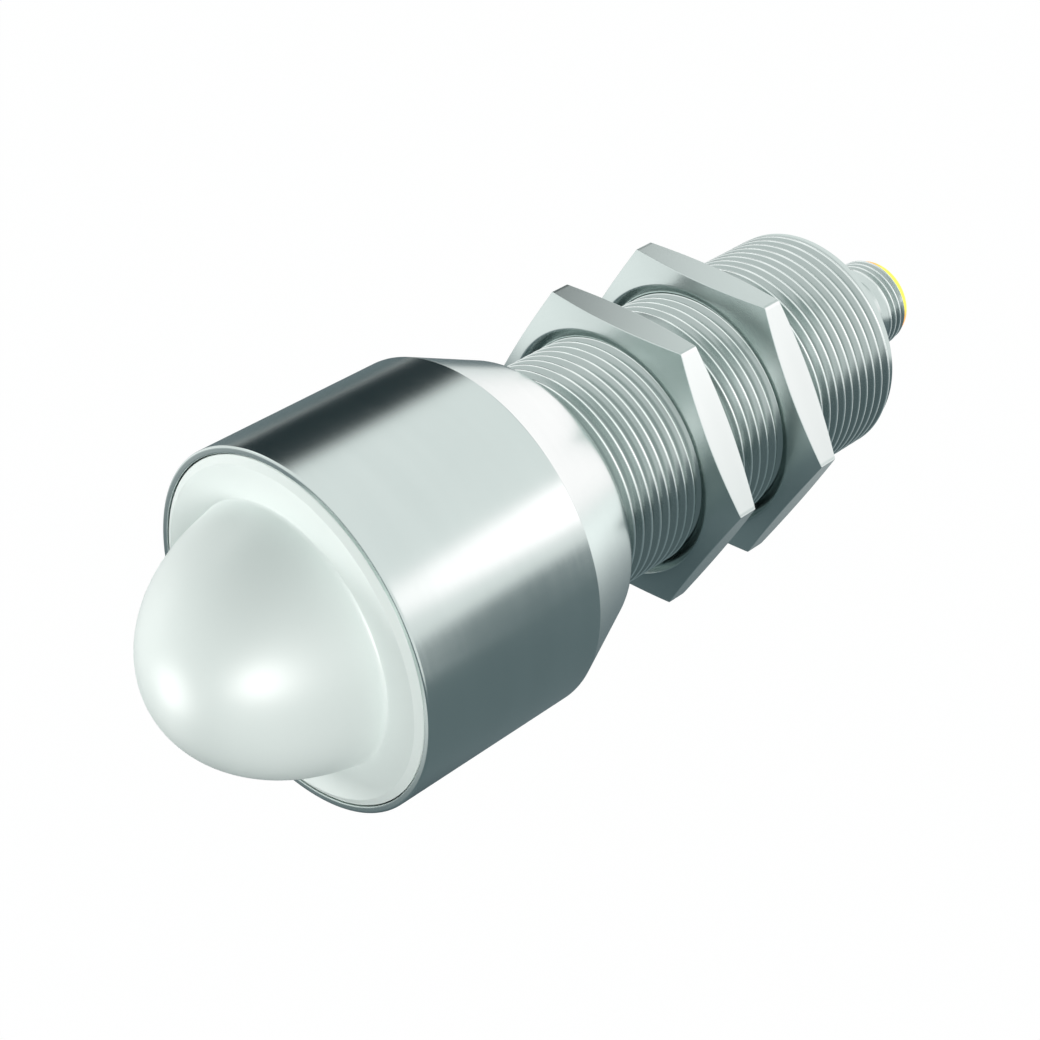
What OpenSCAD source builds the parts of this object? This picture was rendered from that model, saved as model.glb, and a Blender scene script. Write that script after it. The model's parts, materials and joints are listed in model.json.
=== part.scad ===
// Radar level sensor with a threaded barrel, a dome lens and a plug connector.
// Each piece is drawn along its own +Z and laid down by placed(), so the sensor's
// axis is +Y, its lens looks along -Y and its connector points along +Y.
// The origin is the centre of the shoulder where the mounting thread begins.

/* [Head] */
// Outside diameter of the head
head_d = 44.7; // [44:0.1:48]
// Length of the cylindrical stretch of the head
head_len = 26; // [24:0.5:34]
// Length of the taper between the head and the mounting thread
taper_len = 10.6; // [9:0.1:14]
// Width of the step from the thread to the taper's end, before its edge is rounded
shoulder_w = 2.7; // [2.4:0.1:4]
// Radius of the rounded edge at the shoulder
taper_round = 2; // [1:0.1:2.5]
// Wall of the thin rim around the lens
rim_wall = 0.85; // [0.6:0.05:1.2]
// Break on the rim's outer edge
rim_break = 0.2; // [0.1:0.05:0.4]
// Wall of the head around the cavity behind the lens
head_wall = 2.85; // [2.2:0.05:3.4]

/* [Lens] */
// Height of the dome above the rim
dome_h = 17.9; // [16:0.1:20]
// Distance from the dome's tip to the radar chip, which stands in the ellipse's focus
focus_len = 36.2; // [31:0.1:40]
// Width of the ring between the flange's bevel and the dome's full width
flange_flat = 3.8; // [3:0.1:5]
// How far the lens flange stands proud of the rim
flange_proud = 0.4; // [0.2:0.05:0.8]
// Thickness of the lens flange
flange_t = 4; // [3:0.1:5]
// Width of the bevel around the flange
bevel_w = 0.95; // [0.6:0.05:1.4]
// Depth of the bevel around the flange
bevel_h = 0.55; // [0.3:0.05:0.9]
// Height of the small cove at the foot of the dome
cove_h = 0.9; // [0.5:0.05:1.2]
// Width of the small cove at the foot of the dome
cove_w = 0.35; // [0.2:0.05:0.6]
// Length of the spigot behind the flange
spigot_len = 4.2; // [3.6:0.1:5]

/* [Barrel] */
// Outside diameter of the mounting thread
thread_d = 30; // [29.6:0.1:31]
// Length of the mounting thread
thread_len = 52.4; // [48:0.1:70]
// Pitch of the mounting thread
thread_pitch = 1.5; // [1:0.25:2]
// Distance from the shoulder to the mounting thread's first crest
thread_start = 1.4; // [1:0.1:3]
// Chamfer at the rear end of the mounting thread
thread_chamfer = 0.5; // [0.3:0.1:0.8]
// Wall between the thread's crests and the bore through the barrel
barrel_wall = 2.8; // [2.4:0.1:3.4]
// Wall around the seat for the connector shell in the barrel's end
seat_wall = 1.8; // [1.5:0.1:2.2]

/* [Nuts] */
// Metal between the thread's crests and a nut's flats
nut_wall = 3; // [2.5:0.1:5]
// Thickness of a nut
nut_t = 5; // [4:0.1:6]
// Angle of the cone that takes off a nut's corners
nut_cone = 15; // [10:1:25]
// Width of the countersink in a nut, beyond the thread
nut_sink = 1.2; // [0.8:0.1:1.6]
// Angle across the countersink, between its two sides
nut_sink_angle = 120; // [90:5:130]
// Width of the flat land between the countersink and the cone
nut_land = 0.2; // [0.1:0.05:0.4]
// Distance from the shoulder to the front nut
nut_at = 14; // [10:0.5:18]
// Free gap between the two nuts
nut_gap = 10.1; // [6:0.1:12]

/* [Antenna] */
// Thickness of the circuit boards
board_t = 1.6; // [1.2:0.1:2]
// Wall of the carrier around the antenna board
carrier_wall = 3; // [2.4:0.1:3.6]
// Side of the radar chip
chip_w = 8; // [6:0.5:9]
// Thickness of the radar chip
chip_t = 1; // [0.8:0.1:1.4]
// Hole in the absorber around the chip
absorber_hole_d = 13; // [13:0.5:16]
// Thickness of the absorber
absorber_t = 2; // [1.5:0.1:3]
// Width of the shield can
can_w = 14; // [10:0.5:15]
// Gap between the shield can's corners and the housing's stop
can_gap = 2; // [1:0.1:3]
// Height of the shield can
can_h = 2.4; // [1.6:0.1:2.8]
// Sheet thickness of the shield can
can_wall = 0.3; // [0.2:0.05:0.5]

/* [Electronics] */
// Gap between the main board's edges and the bore
main_gap = 0.67; // [0.3:0.01:1]
// Free space between the antenna board and the main board
stack_gap = 3; // [3:0.1:4]
// Width of the pin header between the boards
header_w = 12.7; // [10:0.1:14]
// Height of the pin header
header_h = 2.5; // [2.2:0.1:3.4]
// Overlap of the pin header on the main board
header_seat = 5; // [4:0.5:7]
// Contacts in the pin header
header_n = 6; // [4:1:7]
// Thickness of a header contact
header_pin = 0.64; // [0.5:0.02:0.7]
// Side of the processor
cpu_w = 10; // [8:0.5:12]
// Thickness of the processor
cpu_t = 1.4; // [1:0.1:2]
// Leads on each side of the processor
cpu_leads = 8; // [4:1:10]
// Side of the power inductor
coil_w = 7; // [5:0.5:8]
// Height of the power inductor
coil_h = 3.2; // [2:0.1:4]
// Diameter of a capacitor
cap_d = 5; // [4:0.1:6]
// Height of a capacitor
cap_h = 5.4; // [4:0.1:6]
// Side of a status lamp
lamp_w = 2; // [1.4:0.1:2.4]
// Height of a status lamp
lamp_h = 1.1; // [0.8:0.1:1.5]
// Length of the plastic guide at the main board's end
guide_len = 6; // [5:0.1:8]
// Wall of the plastic guide
guide_wall = 2.2; // [1.8:0.1:2.6]

/* [Connector] */
// Outside diameter of the connector thread
plug_d = 12; // [11.8:0.1:13]
// Length of the connector thread
plug_len = 3.8; // [3.4:0.1:6]
// Step from the connector thread's crests down to the smooth neck
neck_step = 0.6; // [0.4:0.05:0.8]
// Wall of the neck around the contact carrier
neck_wall = 0.5; // [0.4:0.05:0.8]
// Distance from the barrel's end to the connector thread
neck_len = 10.5; // [8:0.1:14]
// Length of the shell's plug inside the barrel
shell_len = 8; // [7:0.1:10]
// How deep the shell's face lies below the barrel's end
shell_sunk = 0.4; // [0.2:0.1:0.8]
// Depth of the contact socket
socket_depth = 8.6; // [7:0.1:10]
// Wall of the contact carrier around the socket
socket_wall = 0.4; // [0.3:0.05:0.45]
// Step from the connector thread's crests down to the lit collar at its mouth
collar_step = 0.5; // [0.3:0.05:0.8]
// Thickness of the lit collar
collar_t = 0.9; // [0.6:0.1:1.4]
// Diameter of the carrier's foot inside the shell
foot_d = 14; // [12:0.5:16]
// Thickness of the carrier's foot
foot_t = 1.5; // [1:0.1:2.5]
// Diameter of a contact pin
pin_d = 1; // [0.8:0.05:1.1]
// Diameter of the circle that the contact pins stand on
pin_circle_d = 5.3; // [5:0.1:5.6]
// Distance from the contact pins' tips to the connector's mouth
pin_sunk = 1.6; // [1:0.1:2.5]
// Length of the contact pins' tails behind the carrier
pin_tail = 3; // [2.4:0.1:3.6]
// Width of the key rib in the socket
key_w = 1.2; // [0.8:0.1:1.6]
// Height of the key rib in the socket
key_h = 0.6; // [0.4:0.05:0.8]

/* [Seals] */
// Section diameter of the lens seal
lens_seal_d = 1.5; // [1.2:0.1:1.8]
// Section diameter of the shell seal
shell_seal_d = 1.5; // [1.2:0.1:1.8]

/* [Clearances] */
// Radial gap between the lens flange and the rim
flange_gap = 0.15; // [0.05:0.05:0.3]
// Radial gap of pieces that slip into a bore
slip = 0.05; // [0.02:0.01:0.1]
// Radial running gap between the mounting thread and a nut
nut_play = 0.05; // [0.02:0.01:0.1]
// Gap around small inserted metal parts
pin_play = 0.02; // [0.01:0.01:0.05]

/* [Hidden] */
$fn = 128;
// Overrun of every cut past the face that it opens
over = head_d / 40;
// Steps in the curve of the dome, in the rounded shoulder and in a cove
dome_steps = 36;
round_steps = 8;
cove_steps = 5;
// Angle between the mounting thread's flanks
thread_angle = 60;
// Shares of the pitch that the thread is deep, and that its crest is wide
thread_depth_share = 0.6134;
thread_crest_share = 0.125;
// Share of the seal's section by which its groove is wider
groove_share = 1.3;
// Share of the spigot's and the plug's length at which the seal's groove is centred
groove_share_at = 0.5;
// Shares of the main board's length, from its front end, at which the parts stand
cpu_share = 0.62;
coil_share = 0.3;
cap_shares = [0.3, 0.44];
// Share of the main board's width by which a capacitor stands off its middle line
cap_side_share = 0.2;
// Share of a chip's side that its leads stand out, and of the lead pitch that is metal
lead_out_share = 0.07;
lead_fill_share = 0.5;
// Share of a contact pin's diameter that its tapered tip is long
tip_share = 0.6;
// Share of the step to the neck by which the connector thread's chamfer runs in
plug_chamfer_share = 0.6;

head_r = head_d / 2;
thread_r = thread_d / 2;
bore_r = thread_r - barrel_wall;
seat_r = thread_r - seat_wall;
cavity_r = head_r - head_wall;
taper_end_r = thread_r + shoulder_w;
rim_z = -(head_len + taper_len);
pocket_r = head_r - rim_wall;
flange_r = pocket_r - flange_gap;
flange_z = rim_z - flange_proud;
ledge_z = flange_z + flange_t;
spigot_end = ledge_z + spigot_len;
spigot_r = cavity_r - slip;
dome_tip = rim_z - dome_h;
// Half axes of the dome's ellipse, across the sensor and along it
dome_r = flange_r - bevel_w - flange_flat;
dome_long = (focus_len * focus_len + dome_r * dome_r) / (2 * focus_len);
dome_centre = dome_tip + dome_long;
focus_z = dome_tip + focus_len;
antenna_z = focus_z + chip_t;
stop_z = antenna_z + board_t;
antenna_r = cavity_r - carrier_wall;
stop_r = antenna_r - board_t / 2;
can_l = sqrt(pow(stop_r - can_gap, 2) - pow(can_w / 2, 2)) - board_t / 2;
shell_face = thread_len - shell_sunk;
shell_z = shell_face - shell_len;
main_z = stop_z + stack_gap;
main_w = 2 * (bore_r - main_gap);
main_end = shell_z - pin_tail / 3;
main_len = main_end - main_z;
plug_z = thread_len + neck_len;
plug_end = plug_z + plug_len;
mouth_z = plug_end + collar_t;
plug_r = plug_d / 2;
neck_r = plug_r - neck_step;
collar_r = plug_r - collar_step;
shell_bore_r = neck_r - neck_wall;
sleeve_r = shell_bore_r - slip;
socket_r = sleeve_r - socket_wall;
floor_z = mouth_z - socket_depth;
foot_r = foot_d / 2;
pin_r = pin_d / 2;
pin_circle_r = pin_circle_d / 2;
pin_reach = pin_circle_r * cos(45);
nut_bore_r = thread_r + nut_play;
nut_sink_r = thread_r + nut_sink;
nut_sink_drop = (nut_sink_r - nut_bore_r) / tan(nut_sink_angle / 2);
nut_face_r = nut_sink_r + nut_land;
nut_corner_r = (thread_r + nut_wall) / cos(30);
nut_corner_drop = (nut_corner_r - nut_face_r) * tan(nut_cone);
rear_nut_at = nut_at + nut_t + nut_gap;

// Lays a piece drawn along +Z down on the sensor's axis, +Y
module placed() {
    rotate([-90, 0, 0])
        children();
}

// Turns a piece drawn in section, radius across and length up
module turned() {
    rotate_extrude()
        children();
}

// A box centred in X, from y0 to y1 and from z0 to z1
module block(width, y0, y1, z0, z1) {
    translate([-width / 2, y0, z0])
        cube([width, y1 - y0, z1 - z0]);
}

// A square-section groove around a turned piece, open outward
module seal_groove(outer_r, section_d, z) {
    half = section_d * groove_share / 2;
    depth = section_d - slip + 2 * pin_play;
    translate([outer_r - depth, z - half])
        square([depth + over, 2 * half]);
}

// The mounting thread's grooves in section, a pitch apart
module thread_grooves() {
    depth = thread_pitch * thread_depth_share;
    mouth = thread_pitch * (1 - thread_crest_share) / 2;
    root = mouth - depth * tan(thread_angle / 2);
    for (middle = [thread_start + thread_pitch / 2 : thread_pitch : thread_len])
        translate([thread_r, middle])
            polygon([
                [over, -mouth],
                [0, -mouth],
                [-depth, -root],
                [-depth, root],
                [0, mouth],
                [over, mouth]
            ]);
}

// A round seal between a groove and the bore around it
module seal_ring(bore_radius, section_d, z) {
    turned()
        translate([bore_radius - pin_play - section_d / 2, z])
            circle(d = section_d);
}

// Radius of the dome's ellipse at a place along the axis
function dome_at(z) = dome_r * sqrt(max(0, 1 - pow((z - dome_centre) / dome_long, 2)));

// Places of the four contact pins, between the key and the cross axes
function pin_place(i) = [pin_circle_r * cos(90 * i - 45), pin_circle_r * sin(90 * i - 45)];

module housing_outline() {
    taper = atan2(head_r - taper_end_r, taper_len);
    // Centre of the rounded edge, tangent to the taper and to the shoulder's face
    round_z = -taper_round;
    edge_r = head_r - (taper_len + round_z) * tan(taper);
    round_x = edge_r - taper_round / cos(taper);
    rounded = [
        for (i = [0 : round_steps])
            let (a = taper + (90 - taper) * i / round_steps)
                [round_x + taper_round * cos(a), round_z + taper_round * sin(a)]
    ];
    polygon(concat(
        [
            [0, rim_z],
            [head_r - rim_break, rim_z],
            [head_r, rim_z + rim_break],
            [head_r, -taper_len]
        ],
        rounded,
        [
            [thread_r, 0],
            [thread_r, thread_len - thread_chamfer],
            [thread_r - thread_chamfer, thread_len],
            [0, thread_len]
        ]
    ));
}

module housing_hollow() {
    polygon([
        [0, rim_z - over],
        [pocket_r, rim_z - over],
        [pocket_r, ledge_z],
        [cavity_r, ledge_z],
        [cavity_r, stop_z],
        [stop_r, stop_z],
        [bore_r, -taper_round],
        [bore_r, shell_z],
        [seat_r, shell_z],
        [seat_r, thread_len + over],
        [0, thread_len + over]
    ]);
}

module housing() {
    color([0.72, 0.75, 0.74])
        placed()
            turned()
                difference() {
                    housing_outline();
                    housing_hollow();
                    thread_grooves();
                }
}

module lens_outline() {
    cove_top = flange_z - cove_h;
    foot_x = dome_at(cove_top) + cove_w;
    tip_angle = acos((dome_centre - cove_top) / dome_long);
    dome = [
        for (i = [0 : dome_steps])
            let (a = tip_angle * i / dome_steps)
                [dome_r * sin(a), dome_centre - dome_long * cos(a)]
    ];
    cove = [
        for (i = [1 : cove_steps])
            let (a = 90 * i / cove_steps)
                [foot_x - cove_w * cos(a), flange_z - cove_h * (1 - sin(a))]
    ];
    polygon(concat(
        dome,
        cove,
        [
            [flange_r - bevel_w, flange_z],
            [flange_r, flange_z + bevel_h],
            [flange_r, ledge_z],
            [spigot_r, ledge_z],
            [spigot_r, spigot_end],
            [0, spigot_end]
        ]
    ));
}

lens_groove_z = ledge_z + spigot_len * groove_share_at;

module lens() {
    color([0.94, 0.95, 0.94])
        placed()
            turned()
                difference() {
                    lens_outline();
                    seal_groove(spigot_r, lens_seal_d, lens_groove_z);
                }
}

module lens_seal() {
    color([0.12, 0.12, 0.13])
        placed()
            seal_ring(cavity_r, lens_seal_d, lens_groove_z);
}

// Sleeve between the lens and the antenna board, with a pocket for the board
module board_carrier() {
    color([0.2, 0.21, 0.22])
        placed()
            turned()
                polygon([
                    [stop_r, spigot_end],
                    [spigot_r, spigot_end],
                    [spigot_r, stop_z],
                    [antenna_r + slip, stop_z],
                    [antenna_r + slip, antenna_z],
                    [stop_r, antenna_z]
                ]);
}

module absorber_ring() {
    color([0.1, 0.1, 0.11])
        placed()
            turned()
                translate([absorber_hole_d / 2, antenna_z - absorber_t])
                    square([stop_r - slip - absorber_hole_d / 2, absorber_t]);
}

module radar_chip() {
    color([0.14, 0.14, 0.15])
        placed()
            block(chip_w, -chip_w / 2, chip_w / 2, focus_z, antenna_z);
}

module antenna_board() {
    color([0.05, 0.32, 0.18])
        placed()
            translate([0, 0, antenna_z])
                cylinder(r = antenna_r, h = board_t);
}

// Pressed cover over the radio parts, open toward the board
module shield_can() {
    y0 = board_t / 2;
    color([0.78, 0.79, 0.8])
        placed()
            difference() {
                block(can_w, y0, y0 + can_l, stop_z, stop_z + can_h);
                block(
                    can_w - 2 * can_wall,
                    y0 + can_wall,
                    y0 + can_l - can_wall,
                    stop_z - over,
                    stop_z + can_h - can_wall
                );
            }
}

header_top = -board_t / 2;
header_end = main_z + header_seat;
header_pitch = header_w / header_n;

// One header contact, or with a gap the slot that it sits in
module header_contact(i, gap, extra) {
    side = header_pin + 2 * gap;
    x = header_pitch * (i - (header_n - 1) / 2);
    translate([x - side / 2, header_top - header_h / 2 - side / 2, stop_z - extra])
        cube([side, side, header_end - stop_z + 2 * extra]);
}

module board_header() {
    color([0.09, 0.09, 0.1])
        placed()
            difference() {
                block(header_w, header_top - header_h, header_top, stop_z, header_end);
                for (i = [0 : header_n - 1])
                    header_contact(i, pin_play, over);
            }
}

module header_pins() {
    color([0.85, 0.7, 0.35])
        placed()
            for (i = [0 : header_n - 1])
                header_contact(i, 0, 0);
}

module main_board() {
    color([0.05, 0.32, 0.18])
        placed()
            block(main_w, -board_t / 2, board_t / 2, main_z, main_end);
}

module processor_chip() {
    middle = main_z + main_len * cpu_share;
    pitch = cpu_w / (cpu_leads + 1);
    lead_w = pitch * lead_fill_share;
    lead_out = cpu_w * lead_out_share;
    top = -board_t / 2;
    color([0.12, 0.12, 0.13])
        placed() {
            block(cpu_w, top - cpu_t, top, middle - cpu_w / 2, middle + cpu_w / 2);
            for (i = [1 : cpu_leads]) {
                place = i * pitch - cpu_w / 2;
                translate([-cpu_w / 2 - lead_out, top - cpu_t / 2, middle + place - lead_w / 2])
                    cube([cpu_w + 2 * lead_out, cpu_t / 2, lead_w]);
                translate([place - lead_w / 2, top - cpu_t / 2, middle - cpu_w / 2 - lead_out])
                    cube([lead_w, cpu_t / 2, cpu_w + 2 * lead_out]);
            }
        }
}

module power_inductor() {
    middle = main_z + main_len * coil_share;
    top = -board_t / 2;
    color([0.3, 0.31, 0.33])
        placed()
            translate([0, top, middle])
                rotate([90, 0, 0])
                    intersection() {
                        translate([-coil_w / 2, -coil_w / 2, 0])
                            cube([coil_w, coil_w, coil_h]);
                        cylinder(d = coil_w * sqrt(2) - coil_w / 7, h = coil_h);
                    }
}

module capacitors() {
    color([0.25, 0.2, 0.5])
        placed()
            for (share = cap_shares, side = [-1, 1])
                translate([side * main_w * cap_side_share, board_t / 2, main_z + main_len * share])
                    rotate([-90, 0, 0])
                        cylinder(d = cap_d, h = cap_h);
}

module status_lamps() {
    color([1, 0.75, 0.1])
        placed()
            for (side = [-1, 1])
                translate([side * (pin_reach + lamp_w * 1.5), 0, main_end - lamp_w / 2])
                    block(lamp_w, board_t / 2, board_t / 2 + lamp_h, -lamp_w / 2, lamp_w / 2);
}

// Plastic ring that slips over the main board's end and centres it in the bore
module rear_guide() {
    guide_z = shell_z - guide_len;
    guide_r = bore_r - slip;
    color([0.16, 0.16, 0.17])
        placed()
            difference() {
                turned()
                    translate([guide_r - guide_wall, guide_z])
                        square([guide_wall, guide_len]);
                block(
                    main_w + 2 * slip,
                    -board_t / 2 - slip,
                    board_t / 2 + slip,
                    guide_z - over,
                    main_end + slip
                );
            }
}

shell_groove_z = shell_z + shell_len * groove_share_at;

// Turned shell: a plug in the barrel's end, a smooth neck and the connector thread
module connector_shell() {
    chamfer = (plug_r - neck_r) * plug_chamfer_share;
    shell_r = seat_r - slip;
    color([0.75, 0.77, 0.76])
        placed()
            turned()
                difference() {
                    polygon([
                        [0, shell_z],
                        [shell_r, shell_z],
                        [shell_r, shell_face],
                        [plug_r, shell_face],
                        [neck_r, shell_face + plug_r - neck_r],
                        [neck_r, plug_z - plug_r + neck_r],
                        [plug_r, plug_z],
                        [plug_r, plug_end - chamfer],
                        [plug_r - chamfer, plug_end],
                        [0, plug_end]
                    ]);
                    seal_groove(shell_r, shell_seal_d, shell_groove_z);
                    polygon([
                        [0, shell_z - over],
                        [foot_r + slip, shell_z - over],
                        [foot_r + slip, shell_z + foot_t],
                        [shell_bore_r, shell_z + foot_t],
                        [shell_bore_r, plug_end + over],
                        [0, plug_end + over]
                    ]);
                }
}

module shell_seal() {
    color([0.12, 0.12, 0.13])
        placed()
            seal_ring(seat_r, shell_seal_d, shell_groove_z);
}

// Clear amber insert: foot, body, socket wall, key rib and the collar at the mouth
module contact_carrier() {
    color([1, 0.7, 0.12])
        placed() {
            difference() {
                turned()
                    polygon([
                        [0, shell_z],
                        [foot_r, shell_z],
                        [foot_r, shell_z + foot_t],
                        [sleeve_r, shell_z + foot_t],
                        [sleeve_r, plug_end],
                        [collar_r, plug_end],
                        [collar_r, mouth_z],
                        [socket_r, mouth_z],
                        [socket_r, floor_z],
                        [0, floor_z]
                    ]);
                for (i = [1 : 4])
                    translate(pin_place(i))
                        translate([0, 0, shell_z - over])
                            cylinder(r = pin_r + pin_play, h = floor_z - shell_z + 2 * over, $fn = 24);
            }
            // The rib lies on the wall, so it starts halfway into it
            block(key_w, -socket_r - socket_wall / 2, -socket_r + key_h, floor_z, plug_end);
        }
}

module contact_pin(i) {
    tip = pin_d * tip_share;
    pin_end = mouth_z - pin_sunk;
    color([0.85, 0.68, 0.3])
        placed()
            translate(pin_place(i))
                rotate_extrude($fn = 24)
                    polygon([
                        [0, shell_z - pin_tail],
                        [pin_r, shell_z - pin_tail],
                        [pin_r, pin_end - tip],
                        [pin_r / 2, pin_end],
                        [0, pin_end]
                    ]);
}

// Solder between the pins' tails and the pads at the main board's end
module solder_joints() {
    high = pin_reach - pin_r - board_t / 2;
    long = (pin_tail - (shell_z - main_end)) * 2 / 3;
    color([0.7, 0.7, 0.72])
        placed()
            for (side = [-1, 1], face = [-1, 1])
                translate([side * pin_reach, face * (board_t / 2 + high / 2), main_end - long / 2])
                    block(pin_d, -high / 2, high / 2, -long / 2, long / 2);
}

// Hexagon nut with coned corners on both sides and countersunk mouths
module nut() {
    half = nut_t / 2;
    color([0.72, 0.75, 0.74])
        placed()
            difference() {
                intersection() {
                    translate([0, 0, -half])
                        cylinder(r = nut_corner_r, h = nut_t, $fn = 6);
                    turned()
                        polygon([
                            [0, -half],
                            [nut_face_r, -half],
                            [nut_corner_r + over, -half + nut_corner_drop + over * tan(nut_cone)],
                            [nut_corner_r + over, half - nut_corner_drop - over * tan(nut_cone)],
                            [nut_face_r, half],
                            [0, half]
                        ]);
                }
                translate([0, 0, -half - over])
                    cylinder(r = nut_bore_r, h = nut_t + 2 * over);
                turned()
                    for (side = [-1, 1])
                        polygon([
                            [0, side * (half + over)],
                            [nut_sink_r + over * tan(nut_sink_angle / 2), side * (half + over)],
                            [nut_bore_r, side * (half - nut_sink_drop)],
                            [0, side * (half - nut_sink_drop)]
                        ]);
            }
}

module front_nut() {
    translate([0, nut_at + nut_t / 2, 0])
        nut();
}

module rear_nut() {
    translate([0, rear_nut_at + nut_t / 2, 0])
        nut();
}

housing();
lens();
lens_seal();
board_carrier();
absorber_ring();
radar_chip();
antenna_board();
shield_can();
board_header();
header_pins();
main_board();
processor_chip();
power_inductor();
capacitors();
status_lamps();
rear_guide();
connector_shell();
shell_seal();
contact_carrier();
contact_pin(1);  // contact_pin_1
contact_pin(2);  // contact_pin_2
contact_pin(3);  // contact_pin_3
contact_pin(4);  // contact_pin_4
solder_joints();
front_nut();
rear_nut();
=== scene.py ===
# %% [markdown]
# # A radar level sensor, dressed for its portrait
# The sensor is a stainless housing turned from one bar: a wide round head, a taper and a
# long threaded barrel. A white dome lens closes the head, two lock nuts ride on the thread,
# and a small plug connector with a lit amber collar stands at the rear.
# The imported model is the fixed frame. Everything here is built around it, in metres, with
# the sensor's axis on +Y and its lens looking along -Y.

# %% Load the frame
import json
import math

import bmesh
import bpy
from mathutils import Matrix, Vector


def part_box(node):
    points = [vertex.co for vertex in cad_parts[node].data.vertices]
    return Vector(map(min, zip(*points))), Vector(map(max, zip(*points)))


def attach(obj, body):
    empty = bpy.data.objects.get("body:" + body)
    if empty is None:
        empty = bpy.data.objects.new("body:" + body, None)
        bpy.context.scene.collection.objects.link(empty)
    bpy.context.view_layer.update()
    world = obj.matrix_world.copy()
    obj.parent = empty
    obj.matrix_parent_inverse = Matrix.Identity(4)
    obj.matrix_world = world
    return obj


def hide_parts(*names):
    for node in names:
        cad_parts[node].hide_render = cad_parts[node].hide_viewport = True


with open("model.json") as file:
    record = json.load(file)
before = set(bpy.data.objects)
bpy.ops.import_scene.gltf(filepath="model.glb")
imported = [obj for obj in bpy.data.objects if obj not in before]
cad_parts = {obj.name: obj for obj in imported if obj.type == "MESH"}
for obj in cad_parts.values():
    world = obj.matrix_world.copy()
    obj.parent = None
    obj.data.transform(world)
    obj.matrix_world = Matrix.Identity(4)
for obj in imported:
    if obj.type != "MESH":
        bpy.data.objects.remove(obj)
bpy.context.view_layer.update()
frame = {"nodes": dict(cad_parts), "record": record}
NODES = frame["nodes"]

# %% [markdown]
# ## Sizes
# The main sizes are read from the frame, so that the dressed pieces sit exactly where the
# plain solids are. What a box cannot tell, such as a rounding or a wall, has a name here.

# %% Read the sizes from the frame
MM = 0.001


def reach(node, axis):
    """Lowest and highest place of a node along an axis, in millimetres."""
    low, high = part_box(node)
    return low[axis] / MM, high[axis] / MM


AXIAL = 1
UPWARD = 2
RIM, BARREL_END = reach("housing", AXIAL)
HEAD_R = reach("housing", UPWARD)[1]
DOME_TIP, SPIGOT_END = reach("lens", AXIAL)
SPIGOT_R = HEAD_R - 2.9
THREAD_R = 15.0
BORE_R = 12.2
SEAT_R = 13.2
SHOULDER_R = 17.7
TAPER_LEN = 10.6
STOP_Y, STOP_R = reach("antenna_board", AXIAL)[1], 15.7
SHELL_FOOT, PLUG_END = reach("connector_shell", AXIAL)
MOUTH = reach("contact_carrier", AXIAL)[1]
print("head radius", round(HEAD_R, 2), "rim", round(RIM, 2), "barrel end", round(BARREL_END, 2))
print("dome tip", round(DOME_TIP, 2), "connector mouth", round(MOUTH, 2))

# %% [markdown]
# ## Shader maths as plain expressions
# A finish is easier to read as `0.2 + 0.1 * streaks` than as a list of Math nodes. The
# class below wraps one output socket, and each operator adds the Math node it stands for.
# Plain numbers stay plain: they are worked out here, and not in the node tree.


# %% A socket that can be calculated with
class Value:
    """An output socket of a finish, with arithmetic."""

    def __init__(self, finish, socket):
        self.finish = finish
        self.socket = socket

    def math(self, operation, *others, clamp=False):
        inputs = {i: v for i, v in enumerate((self, *others))}
        return self.finish.node("Math", {"operation": operation, "use_clamp": clamp}, inputs)

    def __add__(self, other):
        return self.math("ADD", other)

    def __radd__(self, other):
        return self.math("ADD", other)

    def __mul__(self, other):
        return self.math("MULTIPLY", other)

    def __rmul__(self, other):
        return self.math("MULTIPLY", other)

    def __sub__(self, other):
        return self.math("SUBTRACT", other)

    def __rsub__(self, other):
        return self.finish.node("Math", {"operation": "SUBTRACT"}, {0: other, 1: self})

    def __truediv__(self, other):
        return self.math("DIVIDE", other)

    def __pow__(self, other):
        return self.math("POWER", other)

    def clamped(self):
        return self.math("ADD", 0.0, clamp=True)

    def ramp(self, low, high, to_low=0.0, to_high=1.0):
        """A smooth step from to_low to to_high while the value goes from low to high."""
        return self.finish.node(
            "MapRange",
            {"interpolation_type": "SMOOTHSTEP"},
            {0: self, 1: low, 2: high, 3: to_low, 4: to_high},
        )


# %% [markdown]
# One class makes every material. Its `node` method is the only place where a node is added:
# it takes the node's type, its settings, and then the values or links of its sockets.


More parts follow.
